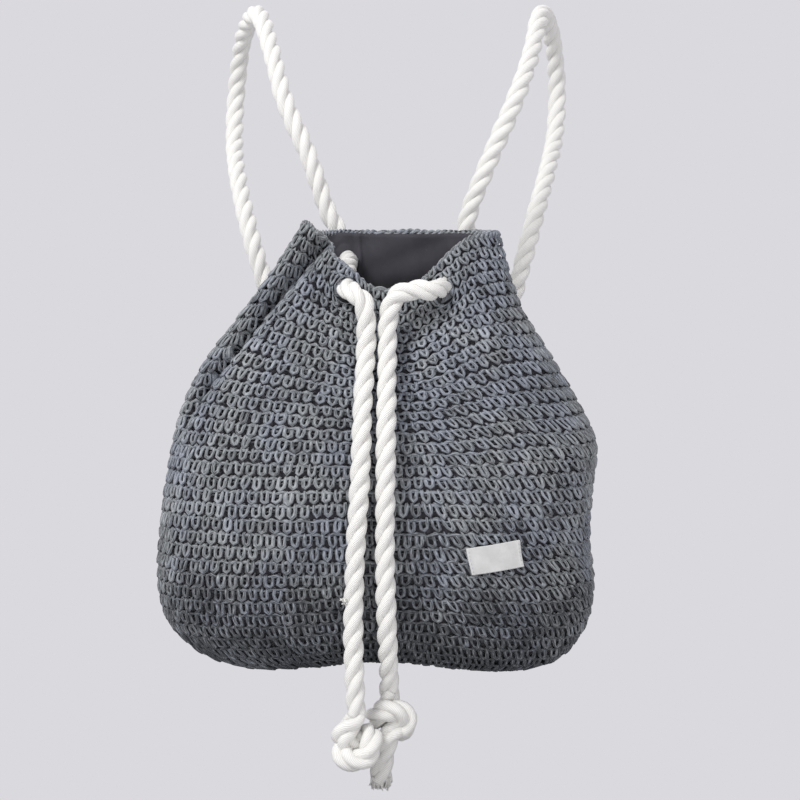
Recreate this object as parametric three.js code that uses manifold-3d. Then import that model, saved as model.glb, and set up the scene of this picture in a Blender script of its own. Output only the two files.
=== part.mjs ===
// Woven straw drawstring backpack, shown as worn: a crocheted bag that hangs by two rope straps.
// Millimetres, +Z up. The bag's front faces -Y and the wearer stands on the +Y side. The origin
// lies midway between the two places where the straps rest on the shoulders.
import * as THREE from 'three';
import { mergeGeometries, mergeVertices } from 'three/addons/utils/BufferGeometryUtils.js';
import Module from 'manifold-3d';

const wasm = await Module();
wasm.setup();

// Driving dimensions of the bag
const bagWidth = 376;
const bagDepth = 176;
const bagHeight = 380;
const rimDrop = 185;
const bagShiftX = -20;
const bagShiftY = -165;
const frontSag = 46;
const peakRise = 9;
const baseLift = 12;
const foldDepth = 20;
const strawWall = 4;
const liningWall = 1;
const liningMargin = 7;
const liningGap = 1.4;
const sewnGap = 0.4;

// Driving dimensions of the ropes, their holes and knots
const ropeDiameter = 17;
const holeDiameter = 22;
const knotWidth = 42;
const knotHeight = 44;
const tailLength = 38;
const tailLean = 0.17;
const stopperDiameter = 40;
const buttGap = 0.3;

// Driving dimensions of the sewn label
const labelWidth = 45;
const labelHeight = 23;
const labelThickness = 0.8;
const labelTurn = 0.078;
const labelShare = 0.302;
const labelTilt = 0.15;

// How finely the surfaces are divided
const turns = 52;
const wallRows = 13;
const baseRings = 3;
const ropeSides = 10;
const ropeStep = 2.2 * ropeDiameter;

// Sections of the wall from the base edge up to the rim. height is a share of bagHeight, left and
// right are shares of half of bagWidth, front and back of half of bagDepth, and power is the
// roundness of the outline: 2 is an ellipse and more is boxier.
const sections = [
  { height: 0.0, left: 0.6, right: 0.68, front: 0.56, back: 0.62, power: 2.3 },
  { height: 0.022, left: 0.74, right: 0.8, front: 0.7, back: 0.75, power: 2.35 },
  { height: 0.06, left: 0.855, right: 0.885, front: 0.82, back: 0.86, power: 2.4 },
  { height: 0.12, left: 0.96, right: 0.955, front: 0.92, back: 0.94, power: 2.45 },
  { height: 0.2, left: 1.008, right: 0.99, front: 0.98, back: 0.99, power: 2.5 },
  { height: 0.3, left: 1.0, right: 0.98, front: 1.0, back: 1.0, power: 2.5 },
  { height: 0.41, left: 0.975, right: 0.99, front: 0.98, back: 0.98, power: 2.5 },
  { height: 0.52, left: 0.937, right: 1.006, front: 0.92, back: 0.95, power: 2.45 },
  { height: 0.62, left: 0.878, right: 0.915, front: 0.84, back: 0.92, power: 2.4 },
  { height: 0.72, left: 0.775, right: 0.795, front: 0.73, back: 0.87, power: 2.4 },
  { height: 0.82, left: 0.625, right: 0.67, front: 0.6, back: 0.82, power: 2.4 },
  { height: 0.91, left: 0.475, right: 0.615, front: 0.46, back: 0.77, power: 2.4 },
  { height: 1.0, left: 0.325, right: 0.585, front: 0.34, back: 0.74, power: 2.4 },
];

// Folds that run up the wall. low and high are the turns (0 front, 0.25 right, 0.5 back, 0.75
// left) where a fold meets the base edge and the rim, spread is its half width in turns, depth is
// its share of foldDepth at the rim and foot at the base edge, and from is the height share where
// a fold without a foot starts. A negative depth is a ridge.
const folds = [
  { low: 0.008, high: 0.012, spread: 0.05, depth: 0.55, foot: 0.36, from: 0.0 },
  { low: 0.99, high: 0.915, spread: 0.03, depth: 0.3, foot: 0.0, from: 0.55 },
  { low: 0.76, high: 0.872, spread: 0.038, depth: 0.28, foot: 0.0, from: 0.5 },
  { low: 0.7, high: 0.72, spread: 0.06, depth: 0.68, foot: 0.0, from: 0.62 },
  { low: 0.28, high: 0.262, spread: 0.05, depth: 0.8, foot: 0.0, from: 0.7 },
  { low: 0.9, high: 0.93, spread: 0.05, depth: 0.12, foot: 0.06, from: 0.3 },
  { low: 0.175, high: 0.17, spread: 0.03, depth: -0.1, foot: -0.14, from: 0.0 },
  { low: 0.5, high: 0.5, spread: 0.08, depth: 0.3, foot: 0.1, from: 0.2 },
];

// Rises and sags of the rim: turn and spread place each one, frontSag or peakRise scales it, and
// from is the height share where the rows of the wall start to follow it.
const rimWaves = [
  { turn: 0.005, spread: 0.075, size: -frontSag, from: 0.4 },
  { turn: 0.842, spread: 0.05, size: peakRise, from: 0.7 },
];

// Where each rope passes through the bag, as a turn and a share up the wall, and its heading there
const ropeHoles = {
  lowLeft: { turn: 0.521, share: 0.292, heading: [0, 1, 0] },
  lowRight: { turn: 0.462, share: 0.292, heading: [0, 1, 0] },
  backLeft: { turn: 0.555, share: 0.942, heading: [0.1, -1, -0.5] },
  backRight: { turn: 0.397, share: 0.934, heading: [-0.1, -1, -0.5] },
  frontLeft: { turn: 0.952, share: 0.942, heading: [0.2, -1, -0.25] },
  frontRight: { turn: 0.077, share: 0.914, heading: [-0.3, -1, -0.2] },
};

// Each rope's route, chosen by hand, with the name of a hole where it passes through one: from its
// stopper out of the low hole, up behind the bag and round the arm, over the shoulder and down to
// the back hole, then across the mouth, out of the front hole and down to its knot.
const ropeRoutes = {
  left: {
    strap: [
      [-57, -86, -460], 'lowLeft', [-57.5, -63, -460], [-61, -53, -444], [-72, -51, -400],
      [-98, -48, -315], [-125, -38, -228], [-138, -19, -187], [-151, 22, -137],
      [-156, 62, -104], [-155, 80, -58], [-146, 52, -8], [-130, 2, 8.5], [-115, -44, -29],
      [-103, -68, -71], [-80, -82, -124], [-64, -86, -170], [-54, -90, -195],
      'backLeft', [-50, -126, -214],
    ],
    draw: [
      [-50, -150, -220], [-50, -178, -230], 'frontLeft', [-42, -209, -236], [-32, -214, -244],
      [-28.5, -214, -262], [-28.5, -216, -282], [-29.5, -225, -303], [-31, -234, -326],
      [-32, -243.5, -355], [-33, -249.5, -385], [-35, -254, -417], [-37, -256, -450],
      [-39, -256, -516], [-38, -257, -555], [-36.5, -257, -588],
    ],
  },
  right: {
    strap: [
      [38, -87, -460], 'lowRight', [38.5, -64, -460], [42, -53, -444], [55, -51, -400],
      [82, -48, -315], [106, -40, -237], [124, -14, -175], [137, 22, -133],
      [146, 62, -101], [149, 80, -56], [142, 52, -8], [129.5, 2, 8.5], [117, -44, -33],
      [103, -68, -70], [77, -83, -130], [61, -87, -172], [57, -94, -197],
      'backRight', [52, -130, -217],
    ],
    draw: [
      [50, -150, -220], [45, -181, -230], 'frontRight', [32, -213.5, -234.5], [14, -214, -234],
      [-3, -213, -239], [-9.5, -213, -256], [-10.5, -217, -284], [-11, -226, -307],
      [-11.3, -236, -332], [-11.6, -243, -355], [-12, -249, -385], [-12.3, -253, -417],
      [-12.5, -255, -450], [-11.5, -255, -500], [-10, -245, -540], [-9, -229, -570],
    ],
  },
};

// Smooth step from 0 to 1 between two values.
function ease(from, to, value) {
  const share = Math.min(Math.max((value - from) / (to - from), 0), 1);
  return share * share * (3 - 2 * share);
}

// Shortest way round from one turn to another, from -0.5 to 0.5.
function turnsApart(a, b) {
  const gap = a - b;
  return gap - Math.round(gap);
}

// Bell curve of height 1 at a turn.
function bell(turn, centre, spread) {
  const share = turnsApart(turn, centre) / spread;
  return Math.exp(-share * share);
}

// Length along the section table up to each row, so that rows are spaced evenly on the wall.
function sectionKnots() {
  const knots = [0];
  for (let i = 1; i < sections.length; i += 1) {
    const rise = (sections[i].height - sections[i - 1].height) * bagHeight;
    const spread = (sections[i].front - sections[i - 1].front) * bagDepth / 2;
    knots.push(knots[i - 1] + Math.hypot(rise, spread));
  }
  return knots.map((knot) => knot / knots[knots.length - 1]);
}

const knotShares = sectionKnots();

// One column of the section table at a share up the wall, by a cubic through the rows.
function column(name, share) {
  let i = 0;
  while (i < sections.length - 2 && share > knotShares[i + 1]) {
    i += 1;
  }
  const slope = (row) => {
    const low = Math.max(row - 1, 0);
    const high = Math.min(row + 1, sections.length - 1);
    return (sections[high][name] - sections[low][name]) / (knotShares[high] - knotShares[low]);
  };
  const span = knotShares[i + 1] - knotShares[i];
  const t = (share - knotShares[i]) / span;
  const h00 = (1 + 2 * t) * (1 - t) * (1 - t);
  const h10 = t * (1 - t) * (1 - t);
  const h01 = t * t * (3 - 2 * t);
  const h11 = t * t * (t - 1);
  return h00 * sections[i][name] + h10 * span * slope(i)
    + h01 * sections[i + 1][name] + h11 * span * slope(i + 1);
}

// Point on the outside of the bag. turn runs round it, share from 0 at the base edge to 1 at the
// rim, and inward from 1 at the base edge to 0 at the middle of the base.
function surfacePoint(turn, share, inward = 1) {
  const angle = turn * 2 * Math.PI;
  const power = 2 / column('power', share);
  const height = column('height', share);
  const side = Math.sin(angle);
  const face = Math.cos(angle);
  const halfX = bagWidth / 2 * column(side < 0 ? 'left' : 'right', share);
  const halfY = bagDepth / 2 * column(face > 0 ? 'front' : 'back', share);
  let x = halfX * Math.sign(side) * Math.abs(side) ** power;
  let y = -halfY * Math.sign(face) * Math.abs(face) ** power;
  const normalX = side / halfX;
  const normalY = -face / halfY;
  const reach = Math.hypot(normalX, normalY);
  for (const fold of folds) {
    const centre = fold.low + (fold.high - fold.low) * height;
    const grown = fold.foot + (fold.depth - fold.foot) * ease(fold.from, 1, height);
    const dent = foldDepth * grown * bell(turn, centre, fold.spread);
    x -= dent * normalX / reach;
    y -= dent * normalY / reach;
  }
  let z = bagHeight * (height - 1) - rimDrop;
  for (const wave of rimWaves) {
    z += wave.size * bell(turn, wave.turn, wave.spread) * ease(wave.from, 1, height);
  }
  x *= inward;
  y *= inward;
  z += baseLift * Math.exp(-((4 * x / bagWidth) ** 2)) * (1 - ease(0, 0.3, height));
  return new THREE.Vector3(x + bagShiftX, y + bagShiftY, z);
}

// Unit normal that points out of the bag, from two short steps along the surface.
function surfaceNormal(turn, share, inward = 1) {
  const step = 0.002;
  const round = surfacePoint(turn + step, share, inward).sub(surfacePoint(turn - step, share, inward));
  const up = inward < 1
    ? surfacePoint(turn, share, inward + step).sub(surfacePoint(turn, share, inward - step))
    : surfacePoint(turn, Math.min(share + step, 1)).sub(surfacePoint(turn, Math.max(share - step, 0)));
  return round.cross(up).normalize();
}

// Point of the bag moved inwards by a distance, for the layers under the outer face.
function layerPoint(turn, share, inward, depth) {
  const point = surfacePoint(turn, share, inward);
  return point.addScaledVector(surfaceNormal(turn, share, inward), -depth);
}

// Rings of one skin of the bag, from the middle of the base to the lining's edge, and on to the
// rim for the straw. Both layers share their rings, so that their flat facets run side by side.
function skinRings(depth, reachesRim) {
  const liningTop = 1 - liningMargin / bagHeight;
  const rings = [];
  for (let ring = 1; ring < baseRings; ring += 1) {
    rings.push(ringPoints(0, ring / baseRings, depth));
  }
  for (let row = 0; row <= wallRows; row += 1) {
    rings.push(ringPoints(liningTop * row / wallRows, 1, depth));
  }
  if (reachesRim) {
    rings.push(ringPoints(1, 1, depth));
  }
  return rings;
}

// One ring of points round the bag.
function ringPoints(share, inward, depth) {
  const ring = [];
  for (let i = 0; i < turns; i += 1) {
    ring.push(layerPoint(i / turns, share, inward, depth));
  }
  return ring;
}

// Closed shell between two skins of the bag: outer skin, rim and inner skin.
function bagShell(outerDepth, innerDepth, reachesRim) {
  const outer = skinRings(outerDepth, reachesRim);
  const inner = skinRings(innerDepth, reachesRim).reverse();
  const rings = [...outer, ...inner];
  const floor = surfacePoint(0, 0, 0);
  const positions = [];
  for (const depth of [outerDepth, innerDepth]) {
    positions.push(floor.x, floor.y, floor.z + depth);
  }
  rings.flat().forEach((point) => positions.push(point.x, point.y, point.z));
  const first = 2;
  const last = first + (rings.length - 1) * turns;
  const faces = [];
  for (let i = 0; i < turns; i += 1) {
    const next = (i + 1) % turns;
    faces.push(0, first + next, first + i);
    faces.push(1, last + i, last + next);
    for (let ring = 0; ring < rings.length - 1; ring += 1) {
      const low = first + ring * turns;
      const high = low + turns;
      faces.push(low + i, low + next, high + next);
      faces.push(low + i, high + next, high + i);
    }
  }
  return indexedGeometry(positions, faces);
}

// Geometry from positions and triangles.
function indexedGeometry(positions, faces) {
  const geometry = new THREE.BufferGeometry();
  geometry.setAttribute('position', new THREE.Float32BufferAttribute(positions, 3));
  geometry.setIndex(faces);
  return geometry;
}

// Solid for cutting and joining, from a closed geometry.
function toSolid(geometry) {
  const bare = geometry.clone();
  bare.deleteAttribute('normal');
  bare.deleteAttribute('uv');
  const merged = mergeVertices(bare, 1e-4);
  return new wasm.Manifold(new wasm.Mesh({
    numProp: 3,
    vertProperties: new Float32Array(merged.attributes.position.array),
    triVerts: new Uint32Array(merged.index.array),
  }));
}

// Geometry from a solid.
function toGeometry(solid) {
  const mesh = solid.getMesh();
  return indexedGeometry(Array.from(mesh.vertProperties), Array.from(mesh.triVerts));
}

// Cylinder along a direction, centred on a point.
function drill(at, heading, diameter, length) {
  const geometry = new THREE.CylinderGeometry(diameter / 2, diameter / 2, length, 12);
  const axis = new THREE.Vector3(...heading).normalize();
  geometry.applyQuaternion(new THREE.Quaternion().setFromUnitVectors(new THREE.Vector3(0, 1, 0), axis));
  geometry.translate(at.x, at.y, at.z);
  return geometry;
}

// A layer of the bag with the six rope holes cut through it.
function piercedShell(outerDepth, innerDepth, reachesRim) {
  let solid = toSolid(bagShell(outerDepth, innerDepth, reachesRim));
  for (const hole of Object.values(ropeHoles)) {
    const length = 6 * (strawWall + liningWall);
    const at = surfacePoint(hole.turn, hole.share);
    solid = solid.subtract(toSolid(drill(at, hole.heading, holeDiameter, length)));
  }
  return toGeometry(solid);
}

// Stretch of a longer curve between two shares of its length.
class Stretch extends THREE.Curve {
  constructor(whole, from, to) {
    super();
    this.whole = whole;
    this.from = from;
    this.to = to;
  }

  getPoint(t, target = new THREE.Vector3()) {
    return this.whole.getPointAt(this.from + (this.to - this.from) * t, target);
  }
}

// A route's point, which is a place or the name of a hole.
function routePoint(point) {
  if (typeof point === 'string') {
    return surfacePoint(ropeHoles[point].turn, ropeHoles[point].share);
  }
  return new THREE.Vector3(...point);
}

// The whole curve of one rope, and the share of its length where strap and drawcord meet.
function ropeCurve(route) {
  const points = [...route.strap, ...route.draw].map(routePoint);
  const curve = new THREE.CatmullRomCurve3(points, false, 'centripetal');
  curve.arcLengthDivisions = 2000;
  const seam = (route.strap.length - 1) / (points.length - 1);
  const lengths = curve.getLengths();
  const split = lengths[Math.round(seam * curve.arcLengthDivisions)] / curve.getLength();
  return { curve, split };
}

// Round rope along a stretch of a curve.
function ropeTube(curve, from, to) {
  const stretch = new Stretch(curve, from, to);
  const length = curve.getLength() * (to - from);
  const section = new THREE.Shape();
  section.absarc(0, 0, ropeDiameter / 2, 0, 2 * Math.PI, false);
  return new THREE.ExtrudeGeometry(section, {
    curveSegments: ropeSides / 2,
    steps: Math.ceil(length / ropeStep),
    extrudePath: stretch,
  });
}

// Overhand knot at the end of a rope: two crossed turns of the rope round a core, with or
// without a tail below it. The top of the knot is at the origin.
function knotGeometry(withTail) {
  const radius = ropeDiameter / 2;
  const loop = knotWidth / 2 - radius;
  const tilts = [0.42, -0.42];
  const core = new THREE.SphereGeometry(knotHeight / 2, 10, 8);
  core.scale(0.72 * knotWidth / knotHeight, 0.72 * knotWidth / knotHeight, 1);
  let solid = toSolid(core);
  for (const tilt of tilts) {
    const turn = new THREE.TorusGeometry(loop, radius, 8, 12);
    turn.rotateY(tilt);
    turn.translate(0, 0, Math.sign(tilt) * radius * 0.6);
    solid = solid.add(toSolid(turn));
  }
  if (withTail) {
    const length = knotHeight / 2 + tailLength;
    const middle = new THREE.Vector3(-tailLean, 0, -1).multiplyScalar(length / 2);
    solid = solid.add(toSolid(drill(middle, [tailLean, 0, 1], ropeDiameter, length)));
  }
  const geometry = toGeometry(solid);
  geometry.computeBoundingBox();
  geometry.translate(0, 0, -geometry.boundingBox.max.z);
  return geometry;
}

// Blank sewn label that follows the curve of the front.
function labelGeometry() {
  const cells = { across: 6, up: 3 };
  const wide = surfacePoint(labelTurn + 0.01, labelShare).distanceTo(surfacePoint(labelTurn, labelShare));
  const high = surfacePoint(labelTurn, labelShare + 0.01).distanceTo(surfacePoint(labelTurn, labelShare));
  const positions = [];
  for (const depth of [-sewnGap, -sewnGap - labelThickness]) {
    for (let j = 0; j <= cells.up; j += 1) {
      for (let i = 0; i <= cells.across; i += 1) {
        const across = labelWidth * (i / cells.across - 0.5);
        const up = labelHeight * (j / cells.up - 0.5) + labelTilt * across;
        const turn = labelTurn + 0.01 * across / wide;
        const share = labelShare + 0.01 * up / high;
        const point = layerPoint(turn, share, 1, depth);
        positions.push(point.x, point.y, point.z);
      }
    }
  }
  return indexedGeometry(positions, slabFaces(cells.across, cells.up));
}

// Triangles of a slab whose back and front are grids of cells.
function slabFaces(across, up) {
  const row = across + 1;
  const layer = row * (up + 1);
  const faces = [];
  const quad = (a, b, c, d) => faces.push(a, b, c, a, c, d);
  for (let j = 0; j < up; j += 1) {
    for (let i = 0; i < across; i += 1) {
      const corner = j * row + i;
      quad(corner, corner + row, corner + row + 1, corner + 1);
      quad(layer + corner, layer + corner + 1, layer + corner + row + 1, layer + corner + row);
    }
  }
  for (let i = 0; i < across; i += 1) {
    const top = up * row + i;
    quad(i, i + 1, layer + i + 1, layer + i);
    quad(top, layer + top, layer + top + 1, top + 1);
  }
  for (let j = 0; j < up; j += 1) {
    const left = j * row;
    const right = left + across;
    quad(left, layer + left, layer + left + row, left + row);
    quad(right, right + row, layer + right + row, layer + right);
  }
  return faces;
}

// Named mesh with a plain surface.
function piece(name, geometry, color, roughness) {
  const material = new THREE.MeshStandardMaterial({ color, roughness, metalness: 0 });
  const mesh = new THREE.Mesh(geometry, material);
  mesh.name = name;
  return mesh;
}

// The rope of one side: strap, drawcord, the stopper knot inside and the knot that hangs in front.
function ropeSet(side, withTail) {
  const cotton = 0xf0efeb;
  const set = new THREE.Group();
  const { curve, split } = ropeCurve(ropeRoutes[side]);
  const gap = buttGap / curve.getLength();
  set.add(piece(`strap_${side}`, ropeTube(curve, 0, split), cotton, 0.85));
  set.add(piece(`drawcord_${side}`, ropeTube(curve, split + gap, 1), cotton, 0.85));
  const ball = new THREE.SphereGeometry(stopperDiameter / 2, 12, 8);
  const stopper = piece(`stopper_${side}`, ball, cotton, 0.85);
  const start = curve.getPointAt(0);
  const inwards = curve.getTangentAt(0).negate();
  stopper.position.copy(start).addScaledVector(inwards, stopperDiameter / 2 + buttGap);
  set.add(stopper);
  const knot = piece(`knot_${side}`, knotGeometry(withTail), cotton, 0.85);
  const downwards = curve.getTangentAt(1);
  knot.quaternion.setFromUnitVectors(new THREE.Vector3(0, 0, -1), downwards);
  knot.position.copy(curve.getPointAt(1)).addScaledVector(downwards, buttGap);
  set.add(knot);
  return set;
}

// The bag: crocheted straw outside, a linen lining inside it and the label on its front.
function bag() {
  const group = new THREE.Group();
  const liningDepth = strawWall + liningGap;
  const lining = piercedShell(liningDepth, liningDepth + liningWall, false);
  group.add(piece('straw_bag', piercedShell(0, strawWall, true), 0x696c71, 0.8));
  group.add(piece('lining', lining, 0x434247, 0.9));
  group.add(piece('label', labelGeometry(), 0xdcdde1, 0.7));
  return group;
}

const backpack = new THREE.Group();
backpack.add(bag());
backpack.add(ropeSet('left', false));
backpack.add(ropeSet('right', true));

export default backpack;
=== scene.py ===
"""Woven straw drawstring backpack: the finished surfaces over the part's solids.

The bag is crocheted from paper straw, lined with grey cotton and closed by two white cotton
ropes. Each rope is one length: shoulder strap up to the back of the gathered mouth, drawcord
from there to the knot that hangs in front.
"""
import logging
import math
from dataclasses import dataclass, field
from enum import Enum
from typing import Callable, Dict, List, Optional, Sequence, Tuple

import bmesh
import bpy
import numpy as np
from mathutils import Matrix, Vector


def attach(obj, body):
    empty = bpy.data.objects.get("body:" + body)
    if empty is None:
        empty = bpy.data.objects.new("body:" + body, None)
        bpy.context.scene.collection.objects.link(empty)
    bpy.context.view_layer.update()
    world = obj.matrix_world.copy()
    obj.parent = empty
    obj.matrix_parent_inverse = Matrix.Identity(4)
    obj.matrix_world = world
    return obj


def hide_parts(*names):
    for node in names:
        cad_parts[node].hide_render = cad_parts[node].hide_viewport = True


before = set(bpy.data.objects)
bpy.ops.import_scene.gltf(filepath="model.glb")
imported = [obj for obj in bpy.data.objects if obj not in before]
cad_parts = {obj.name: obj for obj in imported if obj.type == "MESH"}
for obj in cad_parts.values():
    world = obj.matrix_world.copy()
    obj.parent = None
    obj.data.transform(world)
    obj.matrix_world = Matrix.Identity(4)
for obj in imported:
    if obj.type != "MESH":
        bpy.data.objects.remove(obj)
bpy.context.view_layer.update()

LOG = logging.getLogger("straw_backpack")
MM = 0.001
TURN = 2.0 * math.pi
# Keeps a length that may be nothing from dividing by zero
NEARLY_NONE = 1e-9
# A Wave texture of scale 1 draws this many bands in one unit
WAVE_BANDS = 3.18
Points = np.ndarray
Surface = Callable[[Points, Points], Points]


# Colour and node helpers


def linear(hex_colour: str) -> Tuple[float, float, float, float]:
    """Turns an sRGB hex colour to linear RGBA.

    Args:
        hex_colour: six hex digits, such as "6f7278".

    Returns:
        The linear colour with full alpha.
    """
    parts = [int(hex_colour[i:i + 2], 16) / 255.0 for i in (0, 2, 4)]
    curve = [c / 12.92 if c <= 0.04045 else ((c + 0.055) / 1.055) ** 2.4 for c in parts]
    return (curve[0], curve[1], curve[2], 1.0)


def add_node(tree: bpy.types.NodeTree, kind: str, values: Optional[Dict] = None,
             links: Optional[Dict] = None, **settings: object) -> bpy.types.Node:
    """Adds one node with its settings, socket values and links.

    Args:
        tree: the material's node tree.
        kind: the node's type name.
        values: socket name or number to its value.
        links: socket name or number to the output socket that feeds it.
        settings: the node's own properties.

    Returns:
        The new node.
    """
    node = tree.nodes.new(kind)
    for name, value in settings.items():
        setattr(node, name, value)
    for name, value in (values or {}).items():
        node.inputs[name].default_value = value
    for name, source in (links or {}).items():
        tree.links.new(source, node.inputs[name])
    return node


def ramp(node: bpy.types.Node, stops: Sequence[Tuple[float, str]]) -> None:
    """Gives a colour ramp its stops.

    Args:
        node: the colour ramp.
        stops: each stop's position and hex colour.
    """
    elements = node.color_ramp.elements
    while len(elements) < len(stops):
        elements.new(0.5)
    for element, (place, colour) in zip(elements, stops):
        element.position = place
        element.color = linear(colour)


# Finishes


@dataclass(frozen=True)
class Finish:
    """A finish with a name and a roughness."""

    name: str
    roughness: float

    def material(self) -> bpy.types.Material:
        """Makes this finish's material, once.

        Returns:
            The material.
        """
        known = bpy.data.materials.get(self.name)
        if known:
            return known
        made = bpy.data.materials.new(self.name)
        made.use_nodes = True
        tree = made.node_tree
        shader = tree.nodes["Principled BSDF"]
        shader.inputs["Roughness"].default_value = self.roughness
        self.dress(tree, shader)
        return made

    def dress(self, tree: bpy.types.NodeTree, shader: bpy.types.Node) -> None:
        """Adds the finish's own nodes; a plain finish has none."""


@dataclass(frozen=True)
class PaperStraw(Finish):
    """Twisted paper straw: a dull grey ribbon whose fibres run along the strand.

    It is matt and streaked lengthwise. Each stitch is a little lighter or darker than the next,
    and the grey leans to blue in patches. The shares say how much the streaks, a broad mottle
    and the stitch's tone move the colour between dark and light; the tone also carries painted
    shade, darker towards the foot and on the deeper strand behind the rows.
    """

    dark: str = "3c3e41"
    light: str = "a5a9ab"
    blue: str = "9ca2ad"
    darkest: float = 0.28
    lightest: float = 0.72
    streak_share: float = 1.22
    mottle_share: float = 0.3
    tone_share: float = 0.24
    level: float = -0.38
    # Lumps of noise in a millimetre of the UV map: a streak is about 5 mm long and 1 mm wide
    streaks: Tuple[float, float, float] = (0.2, 0.95, 1.0)
    # Lumps of noise in a metre: a mottle is about 40 mm wide and a patch about 60 mm
    mottles: float = 26.0
    patches: float = 17.0
    patch_edge: Tuple[float, float] = (0.42, 0.62)

    def dress(self, tree: bpy.types.NodeTree, shader: bpy.types.Node) -> None:
        """Streaks along the strand from its UV map, and a tone for each stitch.

        Args:
            tree: the material's node tree.
            shader: its Principled shader.
        """
        uv = add_node(tree, "ShaderNodeUVMap", uv_map="UVMap")
        stretch = add_node(tree, "ShaderNodeMapping", {"Scale": self.streaks},
                           {"Vector": uv.outputs["UV"]})
        streak = add_node(tree, "ShaderNodeTexNoise",
                          {"Scale": 1.0, "Detail": 3.0, "Roughness": 0.6},
                          {"Vector": stretch.outputs["Vector"]})
        place = add_node(tree, "ShaderNodeTexCoord")
        mottle = add_node(tree, "ShaderNodeTexNoise", {"Scale": self.mottles, "Detail": 2.0},
                          {"Vector": place.outputs["Object"]})
        patch = add_node(tree, "ShaderNodeTexNoise",
                         {"Scale": self.patches, "Detail": 2.0, "Roughness": 0.7},
                         {"Vector": place.outputs["Object"]})
        # The tone attribute holds each stitch's own tone, less the painted shade towards the foot
        # and on the deeper back strand
        tone = add_node(tree, "ShaderNodeAttribute", attribute_name="tone")
        toned = add_node(tree, "ShaderNodeMath", {1: self.tone_share, 2: self.level},
                         {0: tone.outputs["Fac"]}, operation="MULTIPLY_ADD")
        mottled = add_node(tree, "ShaderNodeMath", {1: self.mottle_share},
                           {0: mottle.outputs["Fac"], 2: toned.outputs[0]},
                           operation="MULTIPLY_ADD")
        streaked = add_node(tree, "ShaderNodeMath", {1: self.streak_share},
                            {0: streak.outputs["Fac"], 2: mottled.outputs[0]},
                            operation="MULTIPLY_ADD")
        greys = []
        for light in (self.light, self.blue):
            colours = add_node(tree, "ShaderNodeValToRGB", None, {"Fac": streaked.outputs[0]})
            ramp(colours, [(self.darkest, self.dark), (self.lightest, light)])
            greys.append(colours.outputs["Color"])
        low, high = self.patch_edge
        share = add_node(tree, "ShaderNodeMapRange", {"From Min": low, "From Max": high},
                         {"Value": patch.outputs["Fac"]})
        mixed = add_node(tree, "ShaderNodeMix", None,
                         {0: share.outputs["Result"], 6: greys[0], 7: greys[1]}, data_type="RGBA")
        tree.links.new(mixed.outputs[2], shader.inputs["Base Color"])
        ridge = add_node(tree, "ShaderNodeBump", {"Strength": 0.65, "Distance": 0.6 * MM},
                         {"Height": streak.outputs["Fac"]})
        tree.links.new(ridge.outputs["Normal"], shader.inputs["Normal"])
        shader.inputs["IOR"].default_value = 1.45
        shader.inputs["Specular IOR Level"].default_value = 0.35


@dataclass(frozen=True)
class CottonRope(Finish):
    """Laid cotton rope: soft bleached yarn, matt, with fine yarns twisted in each strand.

    The yarns show as slanting ridges, and their loose fibres give the edges a faint sheen.
    """

    colour: str = "f1f0ec"
    painted_groove_shade: str = "d9d7d0"
    yarn: float = 1.31
    slant: float = 62.0

    def dress(self, tree: bpy.types.NodeTree, shader: bpy.types.Node) -> None:
        """Yarns that turn against the strands, from the UV map in millimetres, and a light fuzz.

        Args:
            tree: the material's node tree.
            shader: its Principled shader.
        """
        uv = add_node(tree, "ShaderNodeUVMap", uv_map="UVMap")
        slant = math.radians(self.slant)
        turn = add_node(tree, "ShaderNodeMapping", {"Rotation": (0.0, 0.0, slant)},
                        {"Vector": uv.outputs["UV"]})
        yarn = add_node(tree, "ShaderNodeTexWave",
                        {"Scale": 1.0 / (WAVE_BANDS * self.yarn), "Distortion": 1.6, "Detail": 2.0,
                         "Detail Scale": 1.4},
                        {"Vector": turn.outputs["Vector"]}, bands_direction="X")
        # The fuzz has lumps of about half a millimetre
        fuzz = add_node(tree, "ShaderNodeTexNoise", {"Scale": 2.2, "Detail": 4.0},
                        {"Vector": uv.outputs["UV"]})
        colours = add_node(tree, "ShaderNodeValToRGB", None, {"Fac": yarn.outputs["Fac"]})
        # The grooves between the yarns take the darker colour: painted shade
        ramp(colours, [(0.0, self.painted_groove_shade), (0.45, self.colour)])
        tree.links.new(colours.outputs["Color"], shader.inputs["Base Color"])
        fine = add_node(tree, "ShaderNodeBump", {"Strength": 0.3, "Distance": 0.3 * MM},
                        {"Height": fuzz.outputs["Fac"]})
        ridges = add_node(tree, "ShaderNodeBump", {"Strength": 0.6, "Distance": 0.7 * MM},
                          {"Height": yarn.outputs["Fac"], "Normal": fine.outputs["Normal"]})
        tree.links.new(ridges.outputs["Normal"], shader.inputs["Normal"])
        shader.inputs["Sheen Weight"].default_value = 0.25
        shader.inputs["Sheen Roughness"].default_value = 0.6
        shader.inputs["Specular IOR Level"].default_value = 0.2


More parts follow.
